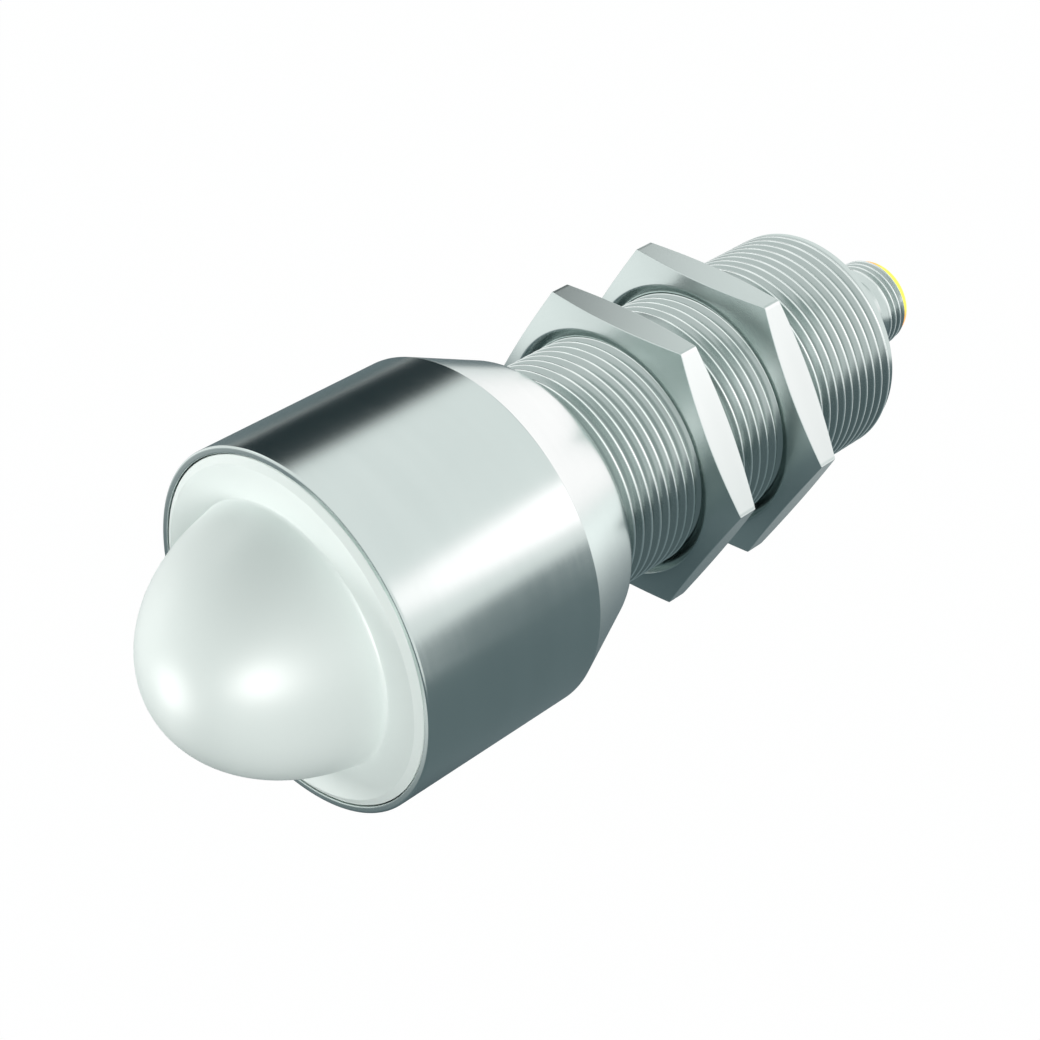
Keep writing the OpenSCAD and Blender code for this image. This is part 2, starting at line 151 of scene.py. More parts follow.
# %% The class that makes a finish
class Finish:
    """The nodes of a material, or of the world when that is given instead."""

    def __init__(self, name, world=None):
        self.material = world or bpy.data.materials.new(name)
        self.material.use_nodes = True
        self.tree = self.material.node_tree
        self.tree.nodes.clear()
        self.output = self.node("OutputWorld" if world else "OutputMaterial", output=None)
        self.shader = None

    def principled(self):
        """Makes this an ordinary surface, whose sockets set() fills."""
        surface = self.node("BsdfPrincipled")
        self.shader = surface.socket.node
        return self.shows(surface)

    def shows(self, surface):
        self.tree.links.new(surface.socket, self.output.inputs["Surface"])
        return self

    def plug(self, socket, value):
        if isinstance(value, Value):
            self.tree.links.new(value.socket, socket)
        elif isinstance(value, (tuple, list)) and socket.type == "RGBA" and len(value) == 3:
            socket.default_value = (*value, 1.0)
        else:
            socket.default_value = value

    def node(self, kind, settings=None, inputs=None, output=0):
        made = self.tree.nodes.new("ShaderNode" + kind)
        for key, value in (settings or {}).items():
            if key == "stops":
                ramp = made.color_ramp
                while len(ramp.elements) < len(value):
                    ramp.elements.new(1.0)
                for element, (place, colour) in zip(ramp.elements, value):
                    element.position = place
                    element.color = (*colour, 1.0)
            else:
                setattr(made, key, value)
        for key, value in (inputs or {}).items():
            self.plug(made.inputs[key], value)
        return made if output is None else Value(self, made.outputs[output])

    def set(self, **sockets):
        """Sets or links the shader's sockets, named with underscores for spaces."""
        for key, value in sockets.items():
            self.plug(self.shader.inputs[key.replace("_", " ")], value)
        return self

    def place(self):
        """The point on the object, in metres, as a vector."""
        return self.node("TexCoord", output="Object")

    def parts(self, vector):
        """The X, Y and Z of a vector, as three values."""
        split = self.node("SeparateXYZ", None, {0: vector})
        return [Value(self, split.socket.node.outputs[i]) for i in range(3)]

    def stretched(self, x, y, z, vector=None):
        """The place, scaled along each axis."""
        source = self.place() if vector is None else vector
        return self.node("VectorMath", {"operation": "MULTIPLY"}, {0: source, 1: (x, y, z)})

    def noise(self, vector, scale=1.0, detail=3.0, rough=0.5):
        settings = {"noise_dimensions": "3D"}
        sockets = {"Vector": vector, "Scale": scale, "Detail": detail, "Roughness": rough}
        return self.node("TexNoise", settings, sockets)

    def blend(self, factor, first, second):
        """A colour between two colours."""
        settings = {"data_type": "RGBA", "clamp_factor": True}
        return self.node("Mix", settings, {0: factor, 6: first, 7: second}, output=2)

    def relief(self, height, strength, distance):
        """A bump from a height map, plugged into the shader's Normal."""
        bump = self.node("Bump", None, {"Strength": strength, "Distance": distance, "Height": height})
        return self.set(Normal=bump)


print("shader helpers ready")

# %% [markdown]
# ## Turned shapes
# Almost every piece of this sensor came off a lathe, so one function turns an outline
# around the axis. Sharp corners never look right on metal: a real edge is broken, and
# catches a thin line of light. `eased` puts a small arc on each corner, with one more ring
# on either side that keeps the smooth shading of the arc off the long faces beside it.


# %% Outlines with eased corners
def eased(corners, steps=4):
    """Points of an open outline. A corner is (radius, place along the axis, rounding)."""
    points = []
    last = len(corners) - 1
    for i, (radius, place, rounding) in enumerate(corners):
        here = Vector((radius, place))
        if i in (0, last) or rounding <= 0:
            points.append(tuple(here))
            continue
        back = Vector(corners[i - 1][:2]) - here
        ahead = Vector(corners[i + 1][:2]) - here
        turn = math.pi - back.angle(ahead)
        trim = rounding * math.tan(turn / 2)
        room = 0.45 * min(back.length, ahead.length)
        if trim > room:
            rounding *= room / trim
            trim = room
        back.normalize()
        ahead.normalize()
        centre = here + (back + ahead).normalized() * (rounding / math.cos(turn / 2))
        start = here + back * trim - centre
        side = 1 if start.x * (ahead.y) - start.y * (ahead.x) > 0 else -1
        points.append(tuple(here + back * trim * 1.6))
        for k in range(steps + 1):
            angle = side * turn * k / steps
            cos, sin = math.cos(angle), math.sin(angle)
            points.append((
                centre.x + start.x * cos - start.y * sin,
                centre.y + start.x * sin + start.y * cos,
            ))
        points.append(tuple(here + ahead * trim * 1.6))
    return points


# %% Rings and skins
def ring(points_at, segments):
    """One closed ring of points, from a function of the turn angle in radians."""
    return [points_at(2 * math.pi * k / segments) for k in range(segments)]


def turned_point(radius, place):
    """A function that gives the point of a circle around the axis, in metres."""
    def at(angle):
        return Vector((radius * math.cos(angle), place, radius * math.sin(angle))) * MM
    return at


def skin(name, rings, closed=False, smooth_angle=35):
    """A mesh object from rings of points: neighbours are joined by quads, and a ring of
    one point is a pole. The result has its doubles removed and its normals outward."""
    mesh = bmesh.new()
    made = [[mesh.verts.new(p) for p in one] for one in rings]
    pairs = list(zip(made, made[1:]))
    if closed:
        pairs.append((made[-1], made[0]))
    for a, b in pairs:
        count = max(len(a), len(b))
        for k in range(count):
            corners = [
                a[k % len(a)], a[(k + 1) % len(a)],
                b[(k + 1) % len(b)], b[k % len(b)],
            ]
            unique = list(dict.fromkeys(corners))
            if len(unique) > 2:
                mesh.faces.new(unique)
    bmesh.ops.remove_doubles(mesh, verts=mesh.verts, dist=1e-7)
    bmesh.ops.dissolve_degenerate(mesh, edges=mesh.edges, dist=1e-7)
    bmesh.ops.recalc_face_normals(mesh, faces=mesh.faces)
    data = bpy.data.meshes.new(name)
    mesh.to_mesh(data)
    mesh.free()
    return finished(name, data, smooth_angle)


def finished(name, data, smooth_angle=35):
    """Links a mesh as an object, shaded smooth with its hard edges kept."""
    data.shade_smooth()
    data.set_sharp_from_angle(angle=math.radians(smooth_angle))
    piece = bpy.data.objects.new(name, data)
    bpy.context.scene.collection.objects.link(piece)
    print(name, "faces:", len(data.polygons))
    return piece


def turned(name, outline, segments, closed=False):
    """Turns an outline of (radius, place) points around the axis."""
    rings = []
    for radius, place in outline:
        if radius < 1e-6:
            rings.append([Vector((0, place, 0)) * MM])
        else:
            rings.append(ring(turned_point(radius, place), segments))
    return skin(name, rings, closed)


# %% [markdown]
# ## Real threads
# A metric thread is one ridge wound round the bar. Its flanks stand at 60 degrees, its
# crest is flat for an eighth of the pitch and its root is round. The mesh rows follow the
# helix, so each crest is one clean line of edges: every ring of points starts a little
# lower than its neighbour, and after a full turn it is one pitch lower and meets itself.
# THREAD_SHARES holds one pitch of the profile, as shares of the pitch and of the depth.

# %% The thread's profile and its rows
THREAD_SHARES = [
    (-0.035, 0.0), (0.035, 0.0), (0.063, 0.018), (0.085, 0.0635), (0.39, 0.925), (0.44, 0.99),
    (0.5, 1.0), (0.56, 0.99), (0.61, 0.925), (0.915, 0.0635), (0.937, 0.018),
]
DEPTH_SHARE = 0.6134


# %% [markdown]
# The rows that would lie past an end are held at the end, and their radius there is read
# from the profile, so that the last ring is a true cut through the thread.


# %% The radius anywhere on a thread
def thread_radius(place, angle_share, crest, pitch, phase, inward=True):
    """Radius of the thread at a place, after that share of a full turn."""
    depth = DEPTH_SHARE * pitch * (1 if inward else -1)
    share = ((place + pitch * angle_share - phase) / pitch + 0.035) % 1.0 - 0.035
    stops = THREAD_SHARES + [(THREAD_SHARES[0][0] + 1, THREAD_SHARES[0][1])]
    for (a, deep_a), (b, deep_b) in zip(stops, stops[1:]):
        if a <= share <= b:
            return crest - depth * (deep_a + (deep_b - deep_a) * (share - a) / (b - a))
    return crest


def threaded(mesh, crest, pitch, low, high, phase, segments, cut, inward=True):
    """Adds a thread to a bmesh, and returns its first and its last ring of vertices.
    cut(radius, place) gives the radius that is left there."""
    rows = []
    for turn in range(int((low - phase) / pitch) - 2, int((high - phase) / pitch) + 3):
        rows += [phase + (turn + share) * pitch for share, _ in THREAD_SHARES]
    per_turn = len(THREAD_SHARES)
    grid = []
    for k in range(segments):
        share = k / segments
        angle = 2 * math.pi * share
        column = []
        for place in rows:
            y = min(max(place - pitch * share, low), high)
            radius = cut(thread_radius(y, share, crest, pitch, phase, inward), y)
            column.append(mesh.verts.new(turned_point(radius, y)(angle)))
        grid.append(column)
    for k in range(segments):
        here = grid[k]
        wraps = k == segments - 1
        there = grid[0] if wraps else grid[k + 1]
        shift = per_turn if wraps else 0
        for i in range(shift, len(rows) - 1):
            face = [here[i], here[i + 1], there[i + 1 - shift], there[i - shift]]
            if max((v.co - face[0].co).length for v in face) > 1e-9:
                mesh.faces.new(face)
    return [column[0] for column in grid], [column[-1] for column in grid]


# %% Bodies that are part thread, part turned
def bridge(mesh, first, second):
    """Joins two rings of as many vertices by quads."""
    count = len(first)
    for k in range(count):
        after = (k + 1) % count
        mesh.faces.new([first[k], first[after], second[after], second[k]])


def thread_and_turned(name, thread, outline, segments):
    """A turned piece whose outline runs from the thread's low end round to its high end."""
    mesh = bmesh.new()
    low_ring, high_ring = threaded(mesh, segments=segments, **thread)
    last = low_ring
    for radius, place in outline:
        new = [mesh.verts.new(p) for p in ring(turned_point(radius, place), segments)]
        bridge(mesh, last, new)
        last = new
    bridge(mesh, last, high_ring)
    bmesh.ops.remove_doubles(mesh, verts=mesh.verts, dist=1e-7)
    bmesh.ops.dissolve_degenerate(mesh, edges=mesh.edges, dist=1e-7)
    bmesh.ops.recalc_face_normals(mesh, faces=mesh.faces)
    data = bpy.data.meshes.new(name)
    mesh.to_mesh(data)
    mesh.free()
    return finished(name, data)


# %% [markdown]
# ## Housing
# One piece of stainless steel. The thread fades out over a short run at the shoulder and is
# chamfered at its free end. The outline then goes round the shoulder, the taper, the head
# and the rim, and back through the cavity and the bore.

# %% Build the housing
THREAD_PITCH = 1.5
THREAD_PHASE = 1.62
RUN_OUT = 0.9
END_CHAMFER = 0.5
RIM_WALL = 0.85
LEDGE = RIM + 3.6
CAVITY_R = HEAD_R - 2.85


def barrel_cut(radius, place):
    share = min(max(place / RUN_OUT, 0.0), 1.0)
    fade = share * share * (3 - 2 * share)
    radius = THREAD_R - (THREAD_R - radius) * fade
    return min(radius, THREAD_R - END_CHAMFER + (BARREL_END - place))


housing_outline = eased([
    (THREAD_R, 0.0, 0),
    (SHOULDER_R, 0.0, 1.75),
    (HEAD_R, -TAPER_LEN, 0.25),
    (HEAD_R, RIM, 0.22),
    (HEAD_R - RIM_WALL, RIM, 0.12),
    (HEAD_R - RIM_WALL, LEDGE, 0),
    (CAVITY_R, LEDGE, 0),
    (CAVITY_R, STOP_Y, 0),
    (STOP_R, STOP_Y, 0),
    (BORE_R, -2.0, 0),
    (BORE_R, SHELL_FOOT, 0),
    (SEAT_R, SHELL_FOOT, 0),
    (SEAT_R, BARREL_END, 0),
    (SEAT_R + 0.1, BARREL_END, 0),
], steps=6)
barrel_thread = dict(
    crest=THREAD_R, pitch=THREAD_PITCH, low=0.0, high=BARREL_END, phase=THREAD_PHASE, cut=barrel_cut
)
housing = thread_and_turned("housing_body", barrel_thread, housing_outline, 160)
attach(housing, "sensor_body")
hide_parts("housing")

# %% [markdown]
# ## Lens
# The dome is an ellipse turned about the axis, so that waves from the radar chip in its
# focus leave it as a straight beam. It stands on a flange with a bevelled edge, and a small
# cove softens the corner between the two. The dome needs many thin rings, because its long
# soft highlights show every flat.

# %% Build the lens
FLANGE_R = HEAD_R - 1.0
FLANGE_Y = RIM - 0.4
BEVEL_W = 0.95
BEVEL_H = 0.55
COVE_W = 0.35
COVE_H = 0.9
DOME_R = FLANGE_R - BEVEL_W - 3.8
FOCUS_LEN = 36.2
DOME_LONG = (FOCUS_LEN ** 2 + DOME_R ** 2) / (2 * FOCUS_LEN)
DOME_CENTRE = DOME_TIP + DOME_LONG
DOME_STEPS = 72

cove_top = FLANGE_Y - COVE_H
foot_angle = math.acos((DOME_CENTRE - cove_top) / DOME_LONG)
dome = [
    (
        DOME_R * math.sin(foot_angle * k / DOME_STEPS),
        DOME_CENTRE - DOME_LONG * math.cos(foot_angle * k / DOME_STEPS),
    )
    for k in range(DOME_STEPS + 1)
]
foot_r = dome[-1][0] + COVE_W
cove = [
    (foot_r - COVE_W * math.cos(a), FLANGE_Y - COVE_H * (1 - math.sin(a)))
    for a in [math.radians(90 * k / 8) for k in range(1, 9)]
]
flange = eased([
    cove[-1] + (0,),
    (FLANGE_R - BEVEL_W, FLANGE_Y, 0.25),
    (FLANGE_R, FLANGE_Y + BEVEL_H, 0.15),
    (FLANGE_R, LEDGE, 0),
    (SPIGOT_R, LEDGE, 0),
    (SPIGOT_R, SPIGOT_END, 0),
    (0.0, SPIGOT_END, 0),
])
lens = turned("lens_body", dome + cove + flange[1:], 256)
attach(lens, "sensor_body")
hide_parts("lens")

# %% [markdown]
# ## Lock nuts
# A nut starts as a hexagon bar. A cutter takes the corners off both ends at a shallow cone,
# which leaves each flat with a curved edge, and a countersink opens the bore. The mesh is a
# set of rings whose radius follows the hexagon, so that the curved edges come out exact.

# %% Build the nuts
NUT_FLAT = 18.0
NUT_THICK = 5.0
NUT_CONE = math.tan(math.radians(15))
NUT_CORNER_ROUND = 0.12
NUT_EDGE = 0.05
NUT_BORE = THREAD_R + 0.05
NUT_SINK_R = THREAD_R + 1.2
NUT_SINK_SLOPE = 1 / math.tan(math.radians(60))
NUT_FACE_R = NUT_SINK_R + 0.2
NUT_SIDES = 6


def nut_angles():
    """Turn angles, in degrees, close together at the corners and even along the flats."""
    step = 360 / NUT_SIDES
    fine = [-1.2, -0.6, -0.3, 0.0, 0.3, 0.6, 1.2]
    even = [3 + 3 * k for k in range(19)]
    return [side * step + a for side in range(NUT_SIDES) for a in fine + even if a < step - 2]


def hexagon(angle):
    """Distance from the axis to the nut's side, with the corners rounded a little."""
    step = math.radians(360 / NUT_SIDES)
    off = (angle + step / 2) % step - step / 2
    flat = NUT_FLAT / math.cos(step / 2 - abs(off))
    round_centre = NUT_FLAT / math.cos(step / 2) - NUT_CORNER_ROUND / math.cos(step / 2)
    reach_r = round_centre * math.cos(off)
    inner = NUT_CORNER_ROUND ** 2 - (round_centre * math.sin(off)) ** 2
    if inner < 0:
        return flat
    return min(flat, reach_r + math.sqrt(inner))


def nut_mesh():
    angles = [math.radians(a) for a in nut_angles()]
    half = NUT_THICK / 2

    def loop(radius_at, place_at):
        return [Vector((
            radius_at(a) * math.cos(a), place_at(radius_at(a)), radius_at(a) * math.sin(a)
        )) * MM for a in angles]

    def face_side(side):
        """Rings of one face, from the bore out to the flats."""
        def cone(radius):
            return side * (half - max(radius - NUT_FACE_R, 0) * NUT_CONE)
        rings = []
        for inset in (NUT_SINK_R - NUT_BORE, 0.06, 0.01):
            rings.append(loop(
                lambda a, i=inset: NUT_SINK_R - i,
                lambda r, i=inset: side * (half - i * NUT_SINK_SLOPE),
            ))
        for radius in (NUT_SINK_R + 0.06, NUT_FACE_R - 0.03, NUT_FACE_R + 0.05):
            rings.append(loop(lambda a, r=radius: r, cone))
        for share in (0.3, 0.6):
            rings.append(loop(
                lambda a, s=share: NUT_FACE_R + (hexagon(a) - NUT_FACE_R) * s, cone
            ))
        for inset, drop in ((2.2, 0.0), (1.2, 0.0), (0.5, 0.25), (0.0, 1.1), (0.0, 2.0)):
            rings.append(loop(
                lambda a, i=inset: hexagon(a) - i * NUT_EDGE,
                lambda r, d=drop: cone(r) - side * d * NUT_EDGE,
            ))
        return rings
    return face_side(-1) + face_side(1)[::-1]


def nut(name, body):
    low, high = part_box(body)
    piece = skin(name, nut_mesh(), closed=True)
    piece.location = (0.0, (low.y + high.y) / 2, 0.0)
    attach(piece, body + "_body")
    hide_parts(body)
    return piece


nuts = [nut("front_lock_nut", "front_nut"), nut("rear_lock_nut", "rear_nut")]

# %% [markdown]
# ## Connector
# The shell is turned, with a smooth neck and an M12 thread of four turns. Inside it sits an insert of
# clear amber plastic. Lamps behind it light its collar, which shows at the mouth; that light is painted on
# as a glow.

# %% Build the connector shell
PLUG_R = 6.0
PLUG_PITCH = 1.0
PLUG_PHASE = 63.5
PLUG_START = BARREL_END + 10.5
NECK_R = 5.4
SHELL_R = SEAT_R - 0.05
SHELL_FACE = BARREL_END - 0.4
SHELL_BORE = 4.9
FOOT_R = 7.05
FOOT_T = 1.5
PLUG_CHAMFER = 0.36


def plug_cut(radius, place):
    share = min(max((place - PLUG_START) / 0.5, 0.0), 1.0)
    radius = PLUG_R - (PLUG_R - radius) * share
    return min(radius, PLUG_R - PLUG_CHAMFER + (PLUG_END - place))


shell_outline = eased([
    (PLUG_R, PLUG_START, 0),
    (NECK_R, PLUG_START - PLUG_R + NECK_R, 0.15),
    (NECK_R, SHELL_FACE + PLUG_R - NECK_R, 0.3),
    (PLUG_R, SHELL_FACE, 0.1),
    (SHELL_R, SHELL_FACE, 0.12),
    (SHELL_R, SHELL_FOOT, 0),
    (FOOT_R, SHELL_FOOT, 0),
    (FOOT_R, SHELL_FOOT + FOOT_T, 0),
    (SHELL_BORE, SHELL_FOOT + FOOT_T, 0),
    (SHELL_BORE, PLUG_END, 0),
    (SHELL_BORE + 0.05, PLUG_END, 0),
])
plug_thread = dict(
    crest=PLUG_R, pitch=PLUG_PITCH, low=PLUG_START, high=PLUG_END, phase=PLUG_PHASE, cut=plug_cut
)
shell = thread_and_turned("connector_shell_body", plug_thread, shell_outline, 128)
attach(shell, "sensor_body")
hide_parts("connector_shell")

# %% [markdown]
# ## Insert and contacts
# The insert is one amber moulding: a foot, a sleeve that passes through the shell, and the
# collar that shows at the mouth. A rib in its socket lets the plug in one way round only. Four
# gilt contacts stand in the socket with rounded ends.

# %% Mould the insert
SLEEVE_R = SHELL_BORE - 0.05
SOCKET_R = SLEEVE_R - 0.4
COLLAR_R = PLUG_R - 0.5
SOCKET_FLOOR = MOUTH - 8.6
KEY_WIDE = 1.2
KEY_TALL = 0.6
KEY_ROUND = 0.15


def add_rib(data, wide, low_z, high_z, low_y, high_y):
    """Adds a rounded rib that lies along the axis to a mesh."""
    rib = bmesh.new()
    rib.from_mesh(data)
    before = set(rib.edges)
    made = bmesh.ops.create_cube(rib, size=1.0)["verts"]
    centre = Vector((0, (low_y + high_y) / 2, (low_z + high_z) / 2))
    size = Vector((wide, high_y - low_y, high_z - low_z))
    for vertex in made:
        vertex.co = (vertex.co * size + centre) * MM
    edges = [e for e in rib.edges if e not in before]
    bmesh.ops.bevel(rib, geom=edges, offset=KEY_ROUND * MM, segments=3, affect="EDGES", profile=0.5)
    rib.to_mesh(data)
    rib.free()


insert_outline = eased([
    (0.0, SOCKET_FLOOR, 0),
    (SOCKET_R, SOCKET_FLOOR, 0.2),
    (SOCKET_R, MOUTH, 0.18),
    (COLLAR_R, MOUTH, 0.22),
    (COLLAR_R, PLUG_END, 0),
    (SLEEVE_R, PLUG_END, 0),
    (SLEEVE_R, SHELL_FOOT + FOOT_T, 0),
    (FOOT_R - 0.05, SHELL_FOOT + FOOT_T, 0),
    (FOOT_R - 0.05, SHELL_FOOT, 0),
    (0.0, SHELL_FOOT, 0),
])
insert = turned("contact_carrier_body", insert_outline, 96)
add_rib(insert.data, KEY_WIDE, SOCKET_R - KEY_TALL, SOCKET_R + 0.2, SOCKET_FLOOR - 0.1, PLUG_END)
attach(insert, "sensor_body")
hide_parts("contact_carrier")

# %% Turn the four contacts
PIN_R = 0.5
PIN_TIP_ROUND = 0.42


def contact(number):
    node = f"contact_pin_{number}"
    low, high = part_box(node)
    tail, tip = low.y / MM, high.y / MM
    outline = eased([
        (0.0, tail, 0), (PIN_R, tail, 0.08), (PIN_R, tip, PIN_TIP_ROUND), (0.0, tip, 0),
    ], steps=6)
    piece = turned(f"contact_{number}", outline, 32)
    piece.location = ((low.x + high.x) / 2, 0.0, (low.z + high.z) / 2)
    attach(piece, "sensor_body")
    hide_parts(node)
    return piece


contacts = [contact(number) for number in range(1, 5)]

# %% [markdown]
# ## Finishes
# Fine turned steel has two scales: hair-thin grooves round the axis, far closer together
# than the eye can count, and a broad unevenness in how dull they are. Noise that is squeezed
# along the axis and stretched across it makes both.

# %% Turned stainless steel
STEEL = (0.62, 0.70, 0.68)
STEEL_PALE = (0.65, 0.73, 0.71)


def turned_steel(name, dullness, thread=None):
    """Steel. thread is (crest radius, first place, last place) where it has a thread, whose crests get a
    painted highlight and whose valleys get painted shade.
    """
    steel = Finish(name).principled()
    fine = steel.noise(steel.stretched(60, 9000, 60), detail=4)
    broad = steel.noise(steel.stretched(25, 260, 25), detail=3)
    cloudy = steel.noise(steel.stretched(70, 70, 70), detail=4, rough=0.6)
    colour = steel.blend((0.6 * broad + 0.4 * cloudy).ramp(0.3, 0.7), STEEL, STEEL_PALE)
    rough = dullness + 0.06 * (fine - 0.5) + 0.05 * (cloudy - 0.5)
    if thread:
        # Painted highlight on the thread's crests and painted shade in its valleys, mixed into the base
        # colour.
        cut, deep = thread_shade_masks(steel, *thread)
        colour = steel.blend(cut, colour, steel.blend(deep, CREST_PAINTED_HIGHLIGHT, VALLEY_PAINTED_SHADE))
    steel.set(
        Base_Color=colour,
        Roughness=rough.clamped(),
        Metallic=1.0,
    )
    steel.relief(fine + 0.3 * broad, 0.10, 0.00002)
    return steel


# %% [markdown]
# A thread's crests show as thin bright lines and its flanks and valleys darker, and both are painted into
# the colour: a painted highlight on the crests and painted shade below them. The painted shade darkens
# with the depth below the crests, which the finish works out from the distance to the axis.

# %% Painted highlight on the crests and painted shade on the flanks
CREST_PAINTED_HIGHLIGHT = (0.88, 0.95, 0.93)
VALLEY_PAINTED_SHADE = (0.44, 0.51, 0.495)
SHADE_FULL_DEPTH = 0.16
SHADE_START_DEPTH = 0.03


def thread_shade_masks(finish, crest, first, last):
    """Where the thread is, from 0 to 1, and how deep a place lies in it, from 0 to 1: the masks of the
    painted highlight and the painted shade.
    """
    x, y, z = finish.parts(finish.place())
    depth = crest * MM - (x * x + z * z).math("SQRT")
    cut = y.ramp(first * MM, (first + 0.3) * MM) * y.ramp((last - 0.4) * MM, (last - 0.6) * MM)
    return cut, depth.ramp(SHADE_START_DEPTH * MM, SHADE_FULL_DEPTH * MM)


head_steel = turned_steel("turned_steel", 0.2, (THREAD_R, 0.0, BARREL_END))
plug_steel = turned_steel("plug_steel", 0.22, (PLUG_R, PLUG_START, PLUG_END))
housing.data.materials.append(head_steel.material)
shell.data.materials.append(plug_steel.material)
print("steel for", housing.name, "and", shell.name)

# %% Machined nuts
nut_finish = turned_steel("nut_steel", 0.24)
for piece in nuts:
    piece.data.materials.append(nut_finish.material)

# %% The lens's white polymer
lens_white = Finish("lens_polymer").principled()
grain = lens_white.noise(lens_white.stretched(1500, 1500, 1500), detail=3)
soft = lens_white.noise(lens_white.stretched(45, 45, 45), detail=2)
lens_white.set(
    Base_Color=lens_white.blend(soft.ramp(0.3, 0.7), (0.79, 0.865, 0.842), (0.82, 0.895, 0.872)),
    Roughness=(0.38 + 0.05 * (grain - 0.5)).clamped(),
)
lens_white.relief(grain, 0.05, 0.00001)
lens.data.materials.append(lens_white.material)

# %% [markdown]
# Status lamps behind the insert light it, and their light is painted on as emission. The collar's painted
# glow is brightest where it faces them, and turns from yellow to orange round its sides. The socket behind
# it only glimmers, and its base colour is darker there, a painted shade.

# %% Amber insert
AMBER = (1.0, 0.55, 0.05)
AMBER_YELLOW = (0.96, 1.0, 0.13)
AMBER_ORANGE = (1.0, 0.42, 0.10)
AMBER_SOCKET_SHADE = (0.62, 0.30, 0.03)
AMBER_DIM = (0.14, 0.045, 0.0)
LAMP_SIDE = Vector((0.707, 0.0, 0.707))
amber = Finish("amber_resin").principled()
across = amber.node("VectorMath", {"operation": "NORMALIZE"}, {0: amber.stretched(1, 0, 1)})
toward = amber.node("VectorMath", {"operation": "DOT_PRODUCT"}, {0: across, 1: LAMP_SIDE}, output=1)
x, y, z = amber.parts(amber.place())
outside = (x * x + z * z).math("SQRT").ramp((SOCKET_R + 0.1) * MM, (SOCKET_R + 0.5) * MM)
collar_glow = amber.blend(toward.ramp(0.62, 0.93), AMBER_ORANGE, AMBER_YELLOW)
cloudy = amber.noise(amber.stretched(600, 600, 600), detail=3)
# The socket's darker base colour is painted shade, and the emission is the painted glow of the status
# lamps.
amber.set(
    Base_Color=amber.blend(outside, AMBER_SOCKET_SHADE, AMBER),
    Roughness=(0.25 + 0.1 * (cloudy - 0.5)).clamped(),
    Emission_Color=amber.blend(outside, AMBER_DIM, collar_glow),
    Emission_Strength=1.0,
)
insert.data.materials.append(amber.material)

# %% Plain finishes for what is inside
def moulded(name, colour, dullness, metallic=0.0):
    plain = Finish(name).principled()
    grain = plain.noise(plain.stretched(900, 900, 900), detail=3)
    plain.set(
        Base_Color=plain.blend(grain.ramp(0.3, 0.7), colour, tuple(min(1.0, c * 1.15) for c in colour)),
        Roughness=(dullness + 0.1 * (grain - 0.5)).clamped(),
        Metallic=metallic,
    )
    return plain


SLOT_FINISHES = {
    "amber_resin": amber,
    "seal_rubber": moulded("seal_rubber", (0.02, 0.02, 0.02), 0.6),
    "dark_moulding": moulded("dark_moulding", (0.03, 0.03, 0.033), 0.45),
    "absorber_foam": moulded("absorber_foam", (0.02, 0.02, 0.022), 0.85),
    "chip_package": moulded("chip_package", (0.02, 0.02, 0.022), 0.5),
    "board_laminate": moulded("board_laminate", (0.01, 0.12, 0.05), 0.3),
    "tinned_sheet": moulded("tinned_sheet", (0.7, 0.71, 0.72), 0.3, 1.0),
    "gilt_contact": moulded("gilt_contact", (0.83, 0.6, 0.25), 0.22, 1.0),
    "ferrite": moulded("ferrite", (0.06, 0.06, 0.065), 0.6),
    "capacitor_can": moulded("capacitor_can", (0.6, 0.61, 0.62), 0.3, 1.0),
    "lamp_resin": moulded("lamp_resin", (0.9, 0.75, 0.35), 0.2),
    "solder": moulded("solder", (0.62, 0.63, 0.64), 0.25, 1.0),
}
for piece in contacts:
    piece.data.materials.append(SLOT_FINISHES["gilt_contact"].material)
slot_of = {row["node"]: row["material_slot"] for row in frame["record"]["subparts"]}
for node_name, piece in NODES.items():
    if piece.hide_render:
        continue
    piece.data.materials.clear()
    piece.data.materials.append(SLOT_FINISHES[slot_of[node_name]].material)
print("finished nodes:", sum(not piece.hide_render for piece in NODES.values()))

# %% [markdown]
# ## Camera
# The sensor is seen as in an isometric drawing, from 45 degrees to its right and 35 degrees
# above, with a long lens.

# %% Set up the camera
CAMERA_AZIMUTH = 44.85
CAMERA_ELEVATION = 35.13
CAMERA_PLACE = Vector((0.1586, -0.1602, 0.1556))
camera_data = bpy.data.cameras.new("camera")
camera_data.sensor_width = 36.0
camera_data.lens = 79.7
camera_data.clip_start = 0.01
camera = bpy.data.objects.new("camera", camera_data)
bpy.context.scene.collection.objects.link(camera)
azimuth = math.radians(CAMERA_AZIMUTH)
elevation = math.radians(CAMERA_ELEVATION)
toward_camera = Vector((
    math.sin(azimuth) * math.cos(elevation),
    -math.cos(azimuth) * math.cos(elevation),
    math.sin(elevation),
))
camera.location = CAMERA_PLACE
camera.rotation_mode = "QUATERNION"
camera.rotation_quaternion = (-toward_camera).to_track_quat("-Z", "Y")
bpy.context.scene.camera = camera
bpy.context.scene.view_settings.view_transform = "Standard"
print("camera at", [round(c, 4) for c in camera.location])

# %% [markdown]
# ## Studio
# A white floor below the sensor, and a white surrounding. Polished metal is a picture of
# what stands around it, so a photographer shapes it with cards: a dark card on the table
# turns the lower half of the head dark, and pale panels draw its soft bright bands. The
# cards are seen only in reflections.

# %% The floor and the surrounding white
FLOOR_DROP = 0.05
FLOOR_Z = -HEAD_R * MM - FLOOR_DROP
FLOOR_SIZE = 6.0
FLOOR_SHARE = 0.94
FLOOR_GLOW = 1.05
AMBIENT = 0.205
COOL = (0.80, 1.0, 0.97)
WHITE = (1.0, 1.0, 1.0)


